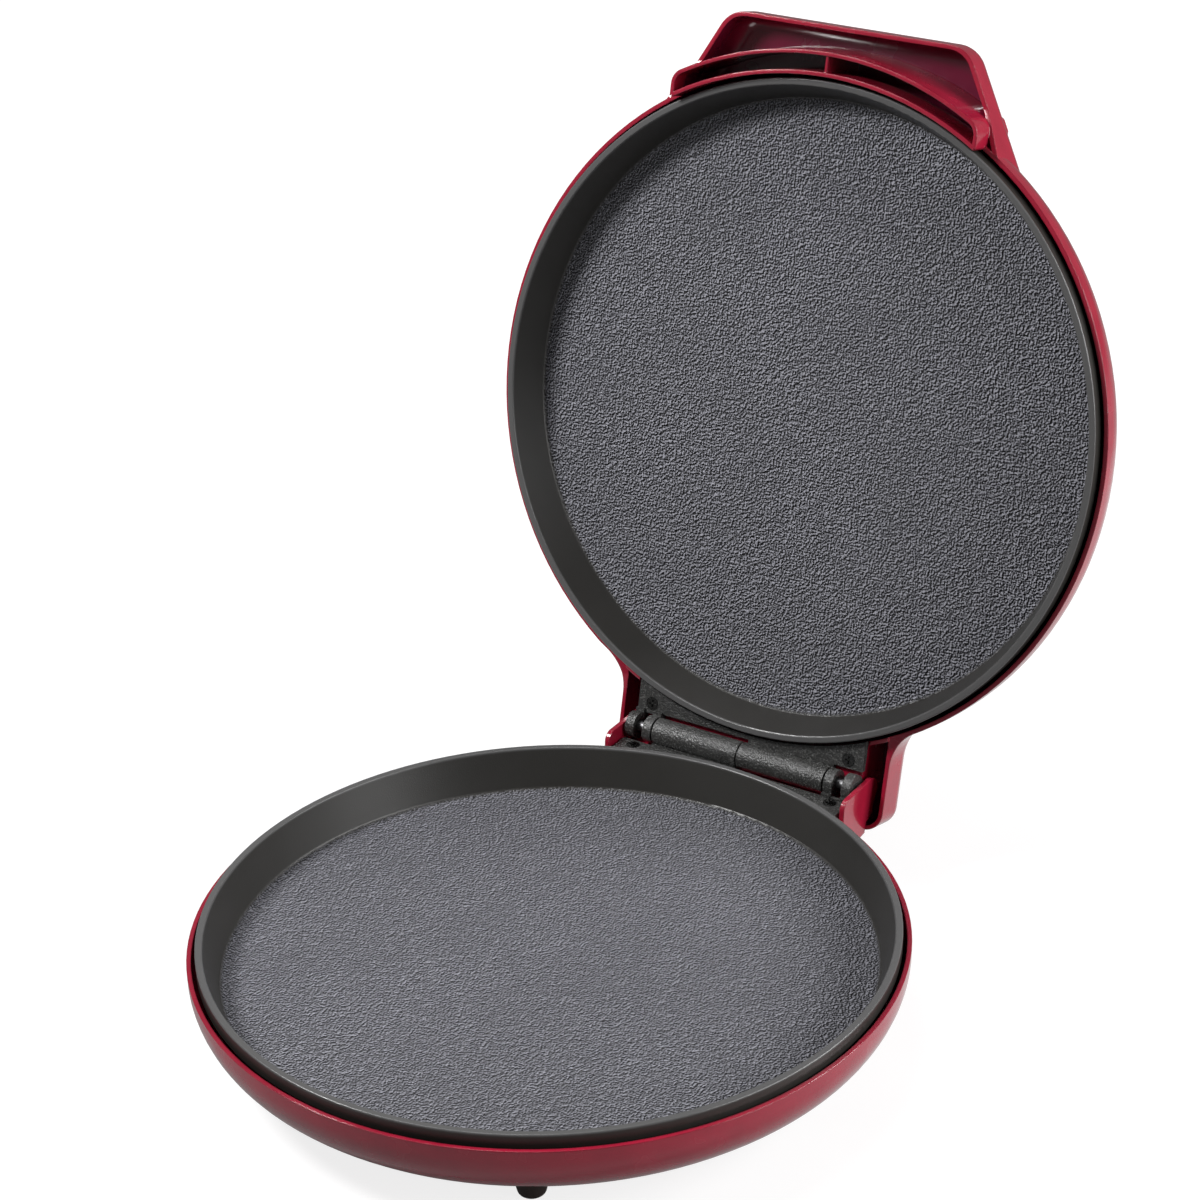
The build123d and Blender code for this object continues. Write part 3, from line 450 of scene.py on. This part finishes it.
def build_stage():
    """A floor that shows white round the object, keeps its shadow and has a bright pool for reflections."""
    size = FLOOR_HALF
    mesh = bpy.data.meshes.new("studio_floor")
    corners = [(-size, -size, 0.0), (size, -size, 0.0), (size, size, 0.0), (-size, size, 0.0)]
    mesh.from_pydata(corners, [], [(0, 1, 2, 3)])
    floor = bpy.data.objects.new("studio_floor", mesh)
    bpy.context.collection.objects.link(floor)

    g = Graph("studio_floor")
    paper = g.noise(PAPER_SIZE, detail=3.0)
    diffuse = g.add("ShaderNodeBsdfDiffuse", {"Color": g.two_tones(paper, *PAPER_TONES)})
    path = g.add("ShaderNodeLightPath")
    white = g.blend_range(g.measure("LENGTH", g.place), WHITE_FROM, WHITE_TO, WHITE_NEAR, WHITE_FAR)
    straight = g.maths("MAXIMUM", path.outputs["Is Camera Ray"], path.outputs["Is Transmission Ray"])
    from_pool = g.measure("DISTANCE", g.place, POOL_CENTRE)
    pool = g.blend_range(from_pool, POOL_FROM, POOL_TO, POOL_BRIGHT, POOL_DIM)
    mirrored = g.maths("MULTIPLY", path.outputs["Is Glossy Ray"], pool)
    glow = g.maths("ADD", g.maths("MULTIPLY", straight, white), mirrored)
    lift = g.add("ShaderNodeEmission", {"Strength": glow})
    both = g.add("ShaderNodeAddShader", {0: diffuse.outputs[0], 1: lift.outputs[0]})
    g.tree.links.new(both.outputs[0], g.out.inputs["Surface"])
    mesh.materials.append(g.material)


def build_world():
    """A white world to the camera, and a dim one that lights the object."""
    world = bpy.data.worlds.new("studio")
    bpy.context.scene.world = world
    world.use_nodes = True
    tree = world.node_tree
    tree.nodes.clear()
    path = tree.nodes.new("ShaderNodeLightPath")
    level = None
    for kind, strength in WORLD_LIFTS:
        amount = tree.nodes.new("ShaderNodeMapRange")
        tree.links.new(path.outputs[kind], amount.inputs["Value"])
        amount.inputs["To Min"].default_value = WORLD_LIGHT
        if level is not None:
            tree.links.new(level, amount.inputs["To Min"])
        amount.inputs["To Max"].default_value = strength
        level = amount.outputs["Result"]
    background = tree.nodes.new("ShaderNodeBackground")
    background.inputs["Color"].default_value = (1.0, 1.0, 1.0, 1.0)
    tree.links.new(level, background.inputs["Strength"])
    out = tree.nodes.new("ShaderNodeOutputWorld")
    tree.links.new(background.outputs[0], out.inputs["Surface"])


def build_lamps():
    for name, place, target, width, height, watts in LAMPS:
        data = bpy.data.lights.new(name, "AREA")
        data.shape = "RECTANGLE"
        data.size = width
        data.size_y = height
        data.energy = watts
        lamp = bpy.data.objects.new(name, data)
        lamp.location = place
        aim = Vector(target) - Vector(place)
        lamp.rotation_euler = aim.to_track_quat("-Z", "Y").to_euler()
        bpy.context.collection.objects.link(lamp)


place_camera()
dress_nodes()
build_stage()
build_world()
build_lamps()
bpy.context.scene.view_settings.view_transform = "Standard"
